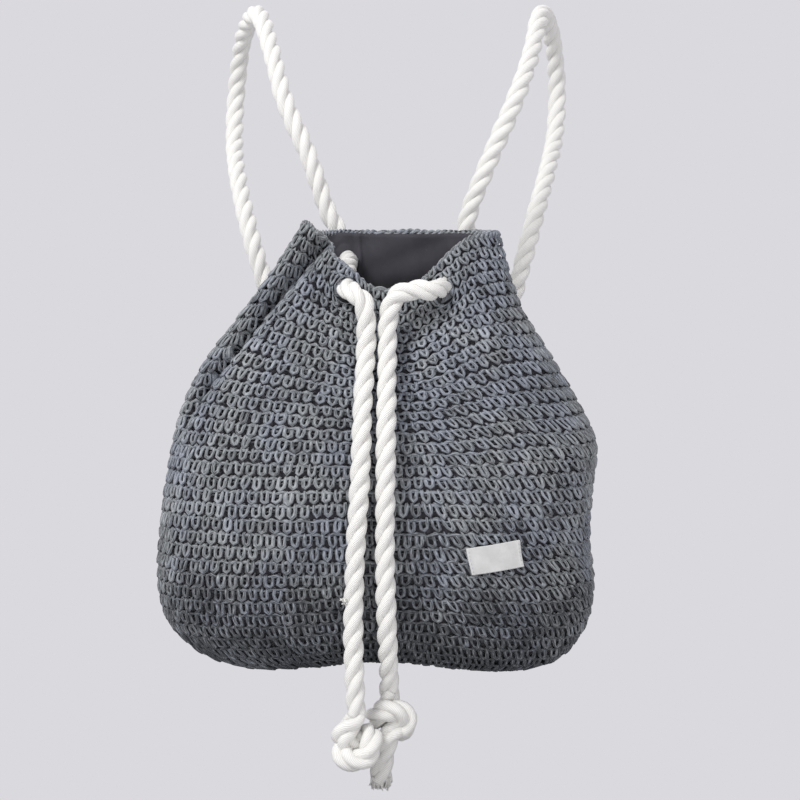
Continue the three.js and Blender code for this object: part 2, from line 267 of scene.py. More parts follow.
@dataclass(frozen=True)
class PlainCotton(Finish):
    """Plain-woven cotton cloth: matt, with its threads crossing at right angles.

    thread is the spacing of the threads and depth the height of their relief, in millimetres.
    """

    colour: str = "46454a"
    thread: float = 0.9
    depth: float = 0.3

    def dress(self, tree: bpy.types.NodeTree, shader: bpy.types.Node) -> None:
        """A thread pattern from the UV map, drawn a little coarser than the cloth's own.

        Args:
            tree: the material's node tree.
            shader: its Principled shader.
        """
        uv = add_node(tree, "ShaderNodeUVMap", uv_map="UVMap")
        bands = {"Scale": 1.0 / (WAVE_BANDS * self.thread), "Distortion": 0.6, "Detail": 1.0}
        warp, weft = [add_node(tree, "ShaderNodeTexWave", bands, {"Vector": uv.outputs["UV"]},
                               bands_direction=way) for way in ("X", "Y")]
        cross = add_node(tree, "ShaderNodeMath", None,
                         {0: warp.outputs["Fac"], 1: weft.outputs["Fac"]}, operation="MULTIPLY")
        # The dye is uneven in patches of about 12 mm
        mottle = add_node(tree, "ShaderNodeTexNoise", {"Scale": 0.08, "Detail": 3.0},
                          {"Vector": uv.outputs["UV"]})
        value = add_node(tree, "ShaderNodeMapRange", {"To Min": 0.82, "To Max": 1.18},
                         {"Value": mottle.outputs["Fac"]})
        tint = add_node(tree, "ShaderNodeHueSaturation", {"Color": linear(self.colour)},
                        {"Value": value.outputs["Result"]})
        tree.links.new(tint.outputs["Color"], shader.inputs["Base Color"])
        bump = add_node(tree, "ShaderNodeBump", {"Strength": 0.5, "Distance": self.depth * MM},
                        {"Height": cross.outputs[0]})
        tree.links.new(bump.outputs["Normal"], shader.inputs["Normal"])
        shader.inputs["Specular IOR Level"].default_value = 0.2


@dataclass(frozen=True)
class MattCard(Finish):
    """Black card, even and matt."""

    colour: str = "0a0a0a"

    def dress(self, tree: bpy.types.NodeTree, shader: bpy.types.Node) -> None:
        """One plain colour."""
        shader.inputs["Base Color"].default_value = linear(self.colour)
        shader.inputs["Specular IOR Level"].default_value = 0.0


STRAW = PaperStraw("Paper straw, twisted and crocheted", 0.58)
ROPE = CottonRope("Cotton rope, bleached and laid", 0.9)
LINING = PlainCotton("Cotton lining, plain woven", 0.9)
TAPE = PlainCotton("Woven tape, off-white", 0.7, colour="cacac8", depth=0.4)
THREAD = PlainCotton("Sewing thread, off-white", 0.7, colour="c9c9cc", thread=0.5)
FLAG = MattCard("Black card", 1.0)


# Piece and mesh helpers


def new_object(name: str, mesh: bpy.types.Mesh, finish: Finish) -> bpy.types.Object:
    """Links a mesh as a smooth object with one finish.

    Args:
        name: the piece's name.
        mesh: its mesh, in metres.
        finish: what it is made of.

    Returns:
        The object.
    """
    made = bpy.data.objects.new(name, mesh)
    bpy.context.scene.collection.objects.link(made)
    mesh.materials.append(finish.material())
    mesh.polygons.foreach_set("use_smooth", np.ones(len(mesh.polygons), dtype=bool))
    mesh.update()
    return made


def declare(piece: bpy.types.Object, slot: str, *nodes: str) -> None:
    """Says what a piece rides on, and hides the nodes that it stands for.

    Args:
        piece: the piece.
        slot: the name of its material slot; it is not used.
        nodes: the names of the nodes that it replaces, if any.
    """
    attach(piece, "root")
    if nodes:
        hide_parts(*nodes)
    LOG.info("%s: %d faces", piece.name, len(piece.data.polygons))


def grid_mesh(name: str, across: int, along: int, place: Surface, size: Tuple[float, float],
              merge: bool = True, cap: bool = False) -> bpy.types.Mesh:
    """A grid laid on a surface, with UVs in millimetres.

    Args:
        name: the mesh's name.
        across: cells in the first direction.
        along: cells in the second direction.
        place: gives points in millimetres for both directions' shares from 0 to 1.
        size: the lengths in millimetres that the UV map spans.
        merge: whether points that meet become one, as at a seam.
        cap: whether open ends are closed.

    Returns:
        The mesh, in metres.
    """
    work = bmesh.new()
    work.loops.layers.uv.new("UVMap")
    bmesh.ops.create_grid(work, x_segments=across, y_segments=along, size=0.5, calc_uvs=True)
    flat = np.array([v.co[:2] for v in work.verts]) + 0.5
    solid = place(flat[:, 0], flat[:, 1]) * MM
    for vert, co in zip(work.verts, solid):
        vert.co = co
    if merge:
        bmesh.ops.remove_doubles(work, verts=work.verts, dist=0.01 * MM)
    if cap:
        edges = [edge for edge in work.edges if edge.is_boundary]
        bmesh.ops.holes_fill(work, edges=edges, sides=0)
    bmesh.ops.recalc_face_normals(work, faces=work.faces)
    mesh = bpy.data.meshes.new(name)
    work.to_mesh(mesh)
    work.free()
    scale_uv(mesh, size)
    return mesh


def mesh_points(mesh: bpy.types.Mesh) -> Points:
    """Reads a mesh's points.

    Args:
        mesh: the mesh, in metres.

    Returns:
        Its points in millimetres.
    """
    flat = np.zeros(len(mesh.vertices) * 3)
    mesh.vertices.foreach_get("co", flat)
    return flat.reshape(-1, 3) / MM


def scale_uv(mesh: bpy.types.Mesh, size: Tuple[float, float]) -> None:
    """Multiplies a mesh's UV map by two lengths.

    Args:
        mesh: the mesh, with a UV map from 0 to 1.
        size: the lengths in millimetres.
    """
    layer = mesh.uv_layers["UVMap"].data
    values = np.zeros(len(layer) * 2)
    layer.foreach_get("uv", values)
    values[0::2] *= size[0]
    values[1::2] *= size[1]
    layer.foreach_set("uv", values)


# Each copy reads its material's pattern at another place: a step, and where it starts again
UV_STEP = np.array((37.3, 11.9))
UV_FIELD = np.array((977.0, 499.0))


def copies(name: str, master: bpy.types.Mesh, spots: Points, tones: Points) -> bpy.types.Mesh:
    """One mesh of many copies of a small one.

    Args:
        name: the mesh's name.
        master: the small mesh.
        spots: the copies' points in millimetres, copies by points by 3.
        tones: a tone from 0 to 1 for each copy.

    Returns:
        The mesh, in metres, with a point attribute named tone.
    """
    count, points = spots.shape[:2]
    work = bmesh.new()
    work.from_mesh(master)
    loops = np.array([[loop.vert.index for loop in face.loops] for face in work.faces])
    work.free()
    uv = np.zeros(len(master.loops) * 2)
    master.uv_layers["UVMap"].data.foreach_get("uv", uv)
    uv = uv.reshape(-1, 2)
    faces = (loops[None] + (np.arange(count) * points)[:, None, None]).reshape(-1, loops.shape[1])
    mesh = bpy.data.meshes.new(name)
    mesh.from_pydata((spots.reshape(-1, 3) * MM).tolist(), [], faces.tolist())
    layer = mesh.uv_layers.new(name="UVMap")
    shift = np.arange(count)[:, None] * UV_STEP % UV_FIELD
    layer.data.foreach_set("uv", (uv[None] + shift[:, None]).reshape(-1))
    tone = mesh.attributes.new("tone", "FLOAT", "POINT")
    tone.data.foreach_set("value", np.repeat(tones, points))
    mesh.update()
    return mesh


def join(name: str, parts: Sequence[bpy.types.Mesh]) -> bpy.types.Mesh:
    """Joins meshes into one, with their UV maps and attributes.

    Args:
        name: the new mesh's name.
        parts: the meshes.

    Returns:
        The joined mesh.
    """
    work = bmesh.new()
    for part in parts:
        work.from_mesh(part)
    mesh = bpy.data.meshes.new(name)
    work.to_mesh(mesh)
    work.free()
    return mesh


def set_tone(mesh: bpy.types.Mesh, value: float) -> bpy.types.Mesh:
    """Gives every point of a mesh one tone.

    Args:
        mesh: the mesh.
        value: the tone.

    Returns:
        The same mesh.
    """
    tone = mesh.attributes.new("tone", "FLOAT", "POINT")
    tone.data.foreach_set("value", np.full(len(mesh.vertices), value))
    return mesh


# The bag's surface


def ease(low: float, high: float, value: Points) -> Points:
    """A smooth step from 0 at low to 1 at high."""
    share = np.clip((value - low) / (high - low), 0.0, 1.0)
    return share * share * (3.0 - 2.0 * share)


def bell(turn: Points, centre: Points, spread: float) -> Points:
    """A bell round a place on the circle of turns.

    Args:
        turn: places on the circle, from 0 to 1.
        centre: the bell's middle.
        spread: the bell's half width.

    Returns:
        1 at the middle, falling to 0 away from it.
    """
    away = turn - centre
    away = (away - np.round(away)) / spread
    return np.exp(-away * away)


@dataclass(frozen=True)
class Fold:
    """A pleat that runs up the bag from low to high, as places on the circle of turns.

    Its depth grows from foot to depth between the heights start and full. Depths are shares of
    the bag's fold depth and heights are shares of its height.
    """

    low: float
    high: float
    spread: float
    depth: float
    foot: float
    start: float
    full: float = 1.0


@dataclass(frozen=True)
class Wave:
    """A rise or fall of the rim round one turn, in millimetres, felt from the height start up."""

    turn: float
    spread: float
    size: float
    start: float


@dataclass(frozen=True)
class RopeHole:
    """Where a rope goes through the wall, and its heading there."""

    turn: float
    share: float
    heading: Tuple[float, float, float]


@dataclass(frozen=True)
class BagShape:
    """The gathered pear shape of the bag, in millimetres, wearer behind it.

    A turn is 0 at the middle of the front and grows to the right. Each section is a height, the
    half widths left and right, the half depths front and back, all as shares of the bag's own,
    and the power that rounds the section's corners.
    """

    width: float = 376.0
    depth: float = 176.0
    height: float = 380.0
    rim_drop: float = 185.0
    shift: Tuple[float, float] = (-20.0, -165.0)
    base_lift: float = 12.0
    lift_reach: float = 94.0
    lift_height: float = 0.3
    base_sag: float = 2.0
    base_line: float = 0.62
    base_reach: float = 0.31
    fold_depth: float = 20.0
    sections: Tuple[Tuple[float, ...], ...] = (
        (0.0, 0.6, 0.69, 0.56, 0.62, 2.3), (0.022, 0.745, 0.825, 0.7, 0.75, 2.35),
        (0.06, 0.865, 0.912, 0.82, 0.86, 2.4), (0.12, 0.97, 0.978, 0.92, 0.94, 2.45),
        (0.2, 1.008, 1.0, 0.98, 0.99, 2.5), (0.3, 1.0, 0.98, 1.0, 1.0, 2.5),
        (0.41, 0.975, 0.99, 0.98, 0.98, 2.5), (0.52, 0.937, 1.006, 0.92, 0.95, 2.45),
        (0.62, 0.878, 0.915, 0.84, 0.92, 2.4), (0.72, 0.775, 0.795, 0.73, 0.87, 2.4),
        (0.82, 0.63, 0.69, 0.6, 0.82, 2.4), (0.91, 0.488, 0.636, 0.46, 0.77, 2.4),
        (1.0, 0.362, 0.592, 0.34, 0.74, 2.4),
    )
    folds: Tuple[Fold, ...] = (
        Fold(0.008, 0.012, 0.046, 0.7, 0.5, 0.0), Fold(0.99, 0.915, 0.03, 0.3, 0.0, 0.55),
        Fold(0.76, 0.872, 0.038, 0.28, 0.0, 0.5), Fold(0.675, 0.889, 0.0115, 0.82, 0.0, 0.5, 0.68),
        Fold(0.955, 0.935, 0.022, 0.22, 0.0, 0.45, 0.75), Fold(0.7, 0.72, 0.06, 0.68, 0.0, 0.62),
        Fold(0.28, 0.262, 0.05, 0.8, 0.0, 0.7), Fold(0.9, 0.93, 0.05, 0.12, 0.06, 0.3),
        Fold(0.175, 0.17, 0.03, -0.1, -0.14, 0.0), Fold(0.5, 0.5, 0.08, 0.3, 0.1, 0.2),
    )
    waves: Tuple[Wave, ...] = (Wave(0.027, 0.054, -32.6, 0.4), Wave(0.962, 0.088, -24.8, 0.4),
                              Wave(0.842, 0.05, 13.3, 0.7))
    holes: Tuple[RopeHole, ...] = (
        RopeHole(0.521, 0.292, (0.0, 1.0, 0.0)), RopeHole(0.462, 0.292, (0.0, 1.0, 0.0)),
        RopeHole(0.5518, 0.942, (0.1, -1.0, -0.5)), RopeHole(0.4012, 0.934, (-0.1, -1.0, -0.5)),
        RopeHole(0.9582, 0.946, (0.2, -1.0, -0.25)), RopeHole(0.0658, 0.928, (-0.3, -1.0, -0.2)),
    )

    def column(self, number: int, share: Points) -> Points:
        """One column of the sections at a share of the way up the wall.

        Args:
            number: which column of the sections.
            share: from 0 at the foot to 1 at the rim.

        Returns:
            The column's smooth value.
        """
        rows = np.array(self.sections)
        steps = np.hypot(np.diff(rows[:, 0]) * self.height, np.diff(rows[:, 3]) * self.depth / 2.0)
        knots = np.concatenate([[0.0], np.cumsum(steps)]) / steps.sum()
        values = rows[:, number]
        last = len(knots) - 1
        before = np.maximum(np.arange(last + 1) - 1, 0)
        after = np.minimum(np.arange(last + 1) + 1, last)
        slopes = (values[after] - values[before]) / (knots[after] - knots[before])
        share = np.clip(share, 0.0, 1.0)
        cell = np.clip(np.searchsorted(knots, share, side="right") - 1, 0, last - 1)
        run = knots[cell + 1] - knots[cell]
        t = (share - knots[cell]) / run
        t2 = t * t
        t3 = t2 * t
        return ((2 * t3 - 3 * t2 + 1) * values[cell] + (t3 - 2 * t2 + t) * run * slopes[cell]
                + (3 * t2 - 2 * t3) * values[cell + 1] + (t3 - t2) * run * slopes[cell + 1])

    def bare(self, turn: Points, share: Points) -> Points:
        """Points of the wall before the base's lift and the bag's place.

        Args:
            turn: turns round the bag.
            share: from 0 at the foot to 1 at the rim.

        Returns:
            The points in millimetres.
        """
        angle = turn * TURN
        power = 2.0 / self.column(5, share)
        height = self.column(0, share)
        side = np.sin(angle)
        face = np.cos(angle)
        half_x = self.width / 2.0 * np.where(side < 0, self.column(1, share), self.column(2, share))
        half_y = self.depth / 2.0 * np.where(face > 0, self.column(3, share), self.column(4, share))
        x = half_x * np.sign(side) * np.abs(side) ** power
        y = -half_y * np.sign(face) * np.abs(face) ** power
        out_x = side / half_x
        out_y = -face / half_y
        size = np.hypot(out_x, out_y)
        dent = np.zeros_like(x)
        for fold in self.folds:
            centre = fold.low + (fold.high - fold.low) * height
            grown = fold.foot + (fold.depth - fold.foot) * ease(fold.start, fold.full, height)
            dent += self.fold_depth * grown * bell(turn, centre, fold.spread)
        z = self.height * (height - 1.0) - self.rim_drop
        for wave in self.waves:
            risen = ease(wave.start, 1.0, height)
            z = z + wave.size * bell(turn, np.full_like(turn, wave.turn), wave.spread) * risen
        return np.stack([x - dent * out_x / size, y - dent * out_y / size, z], 1)

    def lifted(self, points: Points, height: Points) -> Points:
        """Lifts the middle of the base and moves the bag to its place.

        Args:
            points: points in millimetres, which are changed.
            height: each one's share of the bag's height.

        Returns:
            The same points.
        """
        lift = self.base_lift * np.exp(-(points[:, 0] / self.lift_reach) ** 2)
        points[:, 2] += lift * (1.0 - ease(0.0, self.lift_height, height))
        points[:, 0] += self.shift[0]
        points[:, 1] += self.shift[1]
        return points

    def wall(self, turn: Points, share: Points) -> Points:
        """Points of the wall from turns round the bag and shares of the way up."""
        return self.lifted(self.bare(turn, share), self.column(0, share))

    def base(self, turn: Points, outward: Points) -> Points:
        """Points of the base: rounds that open from a straight middle line.

        Args:
            turn: turns round the bag.
            outward: 0 at the middle line to 1 at the foot of the wall.

        Returns:
            The points in millimetres.
        """
        edge = self.bare(turn, np.zeros_like(turn))
        reach = (self.width - self.depth) * self.base_reach
        middle = np.stack([np.clip(edge[:, 0] * self.base_line, -reach, reach),
                           np.zeros_like(turn), edge[:, 2]], 1)
        points = middle + (edge - middle) * outward[:, None]
        points[:, 2] -= self.base_sag * (1.0 - outward)
        return self.lifted(points, np.zeros_like(turn))

    def opened(self, points: Points, radius: float, reach: float = 26.0,
               through: float = 30.0) -> Points:
        """Pushes points aside round each rope, as the rope does the stitches.

        Args:
            points: points in millimetres.
            radius: the hole's radius.
            reach: how far the push is felt.
            through: how far it is felt along the rope.

        Returns:
            The moved points.
        """
        points = points.copy()
        for hole in self.holes:
            centre = self.wall(np.array([hole.turn]), np.array([hole.share]))[0]
            way = np.array(hole.heading)
            way = way / np.linalg.norm(way)
            off = points - centre
            along = off @ way
            out = off - along[:, None] * way
            far = np.linalg.norm(out, axis=1)
            grown = np.sqrt(far * far + radius * radius)
            felt = np.exp(-(far / reach) ** 2) * (np.abs(along) < through)
            push = (grown - far) * felt
            points += out / np.maximum(far, 0.01)[:, None] * push[:, None]
        return points


SHAPE = BagShape()


def normals(place: Surface, first: Points, second: Points) -> Points:
    """Outward normals of a surface by small differences.

    Args:
        place: the surface.
        first: its first number, turns.
        second: its second number.

    Returns:
        Unit normals.
    """
    step = 0.002
    low = np.maximum(second - step, 0.0)
    high = np.minimum(second + step, 1.0)
    round_way = place(first + step, second) - place(first - step, second)
    up_way = place(first, high) - place(first, low)
    out = np.cross(round_way, up_way)
    return out / np.maximum(np.linalg.norm(out, axis=1), NEARLY_NONE)[:, None]


# Crochet


@dataclass(frozen=True)
class Unevenness:
    """How much stitches made by hand differ: standard deviations, and ranges where there are two.

    Widths and heights are shares of a stitch's cell, and depths are millimetres.
    """

    point: Tuple[float, float, float] = (0.018, 0.024, 0.22)
    breadth: float = 0.09
    shoulders: Tuple[float, float] = (0.8, 1.08)
    climb: float = 0.028
    tilt: float = 0.3
    strand: float = 0.1
    stitch: float = 0.07
    thickness: float = 0.12
    spacing: float = 0.032
    lean: float = 0.06
    depth: float = 0.25
    tone: float = 0.16


@dataclass(frozen=True)
class BackStrand:
    """A strand that runs behind a row and loops at its stitches.

    up is a share of the row's height and ripple a share of the wall's. The other lengths are
    millimetres, and size is the strand's length and girth.
    """

    up: float
    sunk: float
    tone: float
    loops: Tuple[float, float] = (74.0, 92.0)
    ripple: float = 0.0016
    sway: float = 0.3
    loop_depth: float = 0.5
    half_wide: float = 1.5
    half_thick: float = 1.1
    cells: Tuple[int, int] = (460, 5)
    size: Tuple[float, float] = (1100.0, 9.0)


@dataclass
class Crochet:
    """Rows of crochet stitches over the wall and rounds over the base.

    line is one U-shaped stitch as points on its cell: x and y as shares of the cell, and the
    depth in millimetres. wide is half the strand's width at each point. Rows get lower towards
    the foot and the mouth, and stitches narrower towards the mouth, by the shares given.
    """

    shape: BagShape = SHAPE
    uneven: Unevenness = Unevenness()
    seed: int = 7
    rows: int = 34
    bands: int = 5
    base_rows: int = 5
    pitch: float = 10.4
    top: float = 0.99
    foot: Tuple[float, float] = (0.0, 0.2)
    foot_rows: float = 0.1
    mouth: Tuple[float, float] = (0.7, 1.0)
    mouth_rows: float = 0.12
    mouth_pitch: float = 0.1
    stagger: float = 0.37
    wander: Tuple[Tuple[float, float, float], ...] = ((0.07, 40.0, 1.0), (0.04, 97.0, 2.1))
    lean: float = 0.68
    lean_turns: Tuple[float, float, float, float] = (0.01, 0.05, 0.2, 0.3)
    lean_fades: Tuple[float, float] = (0.55, 0.75)
    lean_lost: float = 0.5
    lean_pivot: float = 0.1
    sunk: float = 1.35
    half_thick: float = 1.4
    strand_sides: int = 6
    strand_size: Tuple[float, float] = (26.0, 10.0)
    cell_ratio: float = 0.87
    hole: float = 9.6
    tone: float = 0.5
    # Painted shade: how far the tone drops towards the foot, and the heights over which it fades out
    painted_foot_shade: float = 0.8
    painted_shade_ends: Tuple[float, float] = (0.02, 0.42)
    # The deeper strand's lower tone is painted shade in the recess behind the rows
    behind: Tuple[BackStrand, ...] = (BackStrand(0.5, 1.9, 0.5), BackStrand(0.2, 3.6, -0.2))
    line: Tuple[Tuple[float, float, float], ...] = (
        (-0.23, 0.7, -2.6), (-0.25, 0.52, -0.7), (-0.256, 0.22, 0.3), (-0.245, -0.09, 0.7),
        (0.0, -0.27, 0.6), (0.245, -0.09, 0.7), (0.256, 0.22, 0.3), (0.25, 0.52, -0.7),
        (0.23, 0.7, -2.6))
    wide: Tuple[float, ...] = (0.14, 0.162, 0.168, 0.175, 0.185, 0.175, 0.168, 0.162, 0.14)
    rng: np.random.Generator = field(init=False)

    def __post_init__(self) -> None:
        """Seeds the small differences between stitches."""
        self.rng = np.random.default_rng(self.seed)

    def straight(self) -> Tuple[bpy.types.Mesh, Points, Points]:
        """One straight strand, for its faces.

        Returns:
            The mesh, each point's place along it and its angle round it.
        """
        count = len(self.line) - 1

        def place(u: Points, v: Points) -> Points:
            """Points of a straight tube."""
            return np.stack([u * count, np.cos(v * TURN), np.sin(v * TURN)], 1)

        mesh = grid_mesh("Strand", count, self.strand_sides, place, self.strand_size)
        flat = mesh_points(mesh)
        return mesh, np.round(flat[:, 0]).astype(int), np.arctan2(flat[:, 2], flat[:, 1])

    def bent(self, count: int, cell: Points, angle: Points) -> Points:
        """Many strands bent to stitches, each a little different, on a unit cell.

        Args:
            count: how many stitches.
            cell: each point's place along the strand.
            angle: each point's angle round the strand.

        Returns:
            Points, count by points by 3: x and y as shares of the cell, z in millimetres.
        """
        rng = self.rng
        vary = self.uneven
        knots = len(self.line)
        line = np.array(self.line)[None] + rng.normal(0.0, 1.0, (count, knots, 3)) * vary.point
        line[:, :, 0] *= rng.normal(1.0, vary.breadth, (count, 1))
        line[:, (3, 5), 0] *= rng.uniform(*vary.shoulders, (count, 1))
        line[:, :, 1] += rng.normal(0.0, vary.climb, (count, 1))
        line[:, :, 2] += np.linspace(-1.0, 1.0, knots)[None] * rng.normal(0.0, vary.tilt, (count, 1))
        wide = np.array(self.wide)[None] * rng.normal(1.0, vary.strand, (count, knots))
        wide *= rng.normal(1.0, vary.stitch, (count, 1))
        ahead = np.gradient(line, axis=1)[:, :, :2]
        flat = np.stack([-ahead[:, :, 1], ahead[:, :, 0]], 2)
        flat /= np.maximum(np.linalg.norm(flat, axis=2), NEARLY_NONE)[:, :, None]
        across = wide[:, cell] * np.cos(angle)[None]
        thick = rng.normal(self.half_thick, vary.thickness, (count, 1)) * np.sin(angle)[None]
        mid = line[:, cell]
        side = flat[:, cell]
        return np.stack([mid[:, :, 0] + side[:, :, 0] * across,
                         mid[:, :, 1] + side[:, :, 1] * across * self.cell_ratio,
                         mid[:, :, 2] + thick], 2)

    def rounds(self, place: Surface, level: float, pitch: float,
               phase: float) -> Tuple[Points, Points]:
        """Evenly spaced places of the stitches on one row.

        Args:
            place: the surface.
            level: the row's second number.
            pitch: the stitches' spacing in millimetres.
            phase: shifts the row by a share of a stitch.

        Returns:
            Turns of the stitches and the length of one turn there, in millimetres.
        """
        # The row is measured in steps of half a degree
        turns = np.linspace(0.0, 1.0, 721)
        line = place(turns, np.full_like(turns, level))
        steps = np.linalg.norm(np.diff(line, axis=0), axis=1)
        run = np.concatenate([[0.0], np.cumsum(steps)])
        count = max(5, round(run[-1] / pitch))
        spots = (np.arange(count) + phase % 1.0) / count * run[-1]
        spots += self.rng.normal(0.0, self.uneven.spacing * pitch, count)
        found = np.interp(spots % run[-1], run, turns)
        return found, np.interp(found, turns[:-1], steps / np.diff(turns))

    def leaning(self, found: Points, level: float, most: float) -> Points:
        """How far the stitches' legs lean, which they do on the right half of the front.

        Args:
            found: the stitches' turns.
            level: the row's second number.
            most: the full lean.

        Returns:
            Each stitch's lean.
        """
        start, full, last, end = self.lean_turns
        lean = most * ease(start, full, found) * (1.0 - ease(last, end, found))
        lean = lean * (1.0 - self.lean_lost * float(ease(*self.lean_fades, np.array(level))))
        return lean + self.rng.normal(0.0, self.uneven.lean, len(found))

    def cover(self, name: str, place: Surface, levels: Points, heights: Points,
              lean: float) -> List[bpy.types.Mesh]:
        """Stitches of several rows on a surface.

        Args:
            name: the mesh's name.
            place: the surface.
            levels: each row's second number.
            heights: each row's height as a share of the surface's second number.
            lean: how far the legs lean on the right half of the front.

        Returns:
            The stitches' mesh and the meshes of the strands behind them.
        """
        master, cell, angle = self.straight()
        spots, tones = [], []
        for number, level in enumerate(levels):
            narrower = self.mouth_pitch * float(ease(*self.mouth, np.array(level)))
            pitch = self.pitch * (1.0 - narrower)
            found, rate = self.rounds(place, level, pitch, self.stagger * number)
            count = len(found)
            body = self.bent(count, cell, angle)
            tilt = self.leaning(found, level, lean)
            body[:, :, 0] -= tilt[:, None] * (body[:, :, 1] - self.lean_pivot)
            turn = found[:, None] + body[:, :, 0] * pitch / rate[:, None]
            wave = sum(size * np.sin(found * waves + step * number)
                       for size, waves, step in self.wander)
            second = level + (body[:, :, 1] + wave[:, None]) * heights[number]
            lift = self.rng.normal(0.0, self.uneven.depth, count) - self.sunk
            flat_turn = turn.reshape(-1)
            flat_second = np.clip(second.reshape(-1), 0.0, 1.0)
            rise = (body[:, :, 2] + lift[:, None]).reshape(-1, 1)
            points = place(flat_turn, flat_second) + normals(place, flat_turn, flat_second) * rise
            spots.append(points.reshape(count, -1, 3))
            drawn = self.rng.normal(self.tone, self.uneven.tone, count)
            # Each stitch's own tone, less the painted shade towards the foot
            tones.append(drawn - self.darker(spots[-1][:, 0, 2]))
        joined = np.concatenate(spots)
        opened = self.shape.opened(joined.reshape(-1, 3), self.hole).reshape(joined.shape)
        made = [copies(name, master, opened, np.concatenate(tones))]
        for level, height in zip(levels, heights):
            made += [self.back_strand(place, level + kind.up * height, kind) for kind in self.behind]
        return made

    def darker(self, height: Points) -> Points:
        """How much painted shade darkens the straw towards the foot of the bag, standing in for the
        shade that falls low on the bag.

        Args:
            height: the upright coordinate in millimetres.

        Returns:
            What is taken off the tone.
        """
        share = (height + self.shape.rim_drop) / self.shape.height + 1.0
        return self.painted_foot_shade * (1.0 - ease(*self.painted_shade_ends, share))

    def back_strand(self, place: Surface, level: float, kind: BackStrand) -> bpy.types.Mesh:
        """One strand behind the stitches.

        Args:
            place: the surface.
            level: the strand's second number.
            kind: where it lies and how it loops.

        Returns:
            Its mesh.
        """
        wobble = self.rng.uniform(0.0, TURN, 3)
        loops = round(self.rng.uniform(*kind.loops))
        near = 0.004

        def tube(u: Points, v: Points) -> Points:
            """Points of the strand.

            Args:
                u: shares of the way round the bag.
                v: shares of the way round the strand.

            Returns:
                The points in millimetres.
            """
            loop = np.sin(u * TURN * loops + wobble[2])
            # Two more waves are out of step with the loops, so the strand doesn't repeat
            drift = np.sin(u * 311.0 + wobble[0]) + loop
            second = np.clip(level + kind.ripple * drift, 0.0, 1.0)
            out = normals(place, u, second)
            above = (place(u, np.clip(second + near, 0.0, 1.0))
                     - place(u, np.clip(second - near, 0.0, 1.0)))
            above /= np.maximum(np.linalg.norm(above, axis=1), NEARLY_NONE)[:, None]
            angle = v * TURN
            deep = kind.loop_depth * loop + kind.sway * np.sin(u * 520.0 + wobble[1]) - kind.sunk
            wide = (kind.half_wide + kind.loop_depth * loop) * np.cos(angle)
            points = place(u, second) + out * (deep + kind.half_thick * np.sin(angle))[:, None]
            return self.shape.opened(points + above * wide[:, None], self.hole)

        height = place(np.array([0.1]), np.array([level]))[:, 2]
        # The strand's tone, less the painted shade towards the foot
        tone = kind.tone - float(self.darker(height)[0])
        return set_tone(grid_mesh("Back strand", *kind.cells, tube, kind.size), tone)

    def build(self) -> List[bpy.types.Object]:
        """Makes the wall in bands, and the base.

        Returns:
            The objects.
        """
        share = (np.arange(self.rows) + 0.5) / self.rows
        weights = (1.0 - self.foot_rows * (1.0 - ease(*self.foot, share))
                   - self.mouth_rows * ease(*self.mouth, share))
        heights = weights / weights.sum() * self.top
        levels = np.cumsum(heights) - heights / 2.0
        made = []
        for number, band in enumerate(np.array_split(np.arange(self.rows), self.bands)):
            parts = self.cover("Straw", self.shape.wall, levels[band], heights[band], self.lean)
            made.append(new_object("straw_wall_" + str(number + 1), join("Straw", parts), STRAW))
        base_levels = (np.arange(self.base_rows) + 0.5) / self.base_rows
        base_heights = np.full(self.base_rows, 1.0 / self.base_rows)
        parts = self.cover("Base", self.shape.base, base_levels, base_heights, 0.0)
        made.append(new_object("straw_base", join("Base", parts), STRAW))
        return made


@dataclass
class Border:
    """The border of the mouth: two strands twisted round each other on the rim."""

    shape: BagShape = SHAPE
    level: float = 0.993
    twists: float = 54.0
    swing: float = 1.3
    inward: float = 2.7
    drop: float = 0.6
    sway: float = 0.8
    half_wide: float = 2.05
    half_high: float = 2.2
    tone: float = 0.6
    cells: Tuple[int, int] = (780, 6)
    size: Tuple[float, float] = (900.0, 9.0)

    def build(self) -> bpy.types.Object:
        """Makes the two strands.

        Returns:
            The object.
        """
        parts = []
        for start in (0.0, 0.5):
            def tube(u: Points, v: Points, start: float = start) -> Points:
                """Points of one strand.

                Args:
                    u: shares of the way round the mouth.
                    v: shares of the way round the strand.
                    start: the share of a twist at which it starts.

                Returns:
                    The points in millimetres.
                """
                level = np.full_like(u, self.level)
                out = normals(self.shape.wall, u, level)
                twist = (u * self.twists + start) * TURN
                angle = v * TURN
                away = self.swing * np.cos(twist) - self.inward + self.half_wide * np.cos(angle)
                points = self.shape.wall(u, level) + out * away[:, None]
                points[:, 2] += self.swing * np.sin(twist) - self.drop
                points[:, 2] += self.sway * np.sin(u * 91.0) * np.sin(u * 37.0)
                points[:, 2] += self.half_high * np.sin(angle)
                return points

            parts.append(set_tone(grid_mesh("Edge", *self.cells, tube, self.size), self.tone))
        return new_object("straw_border", join("Edge", parts), STRAW)


# Lining


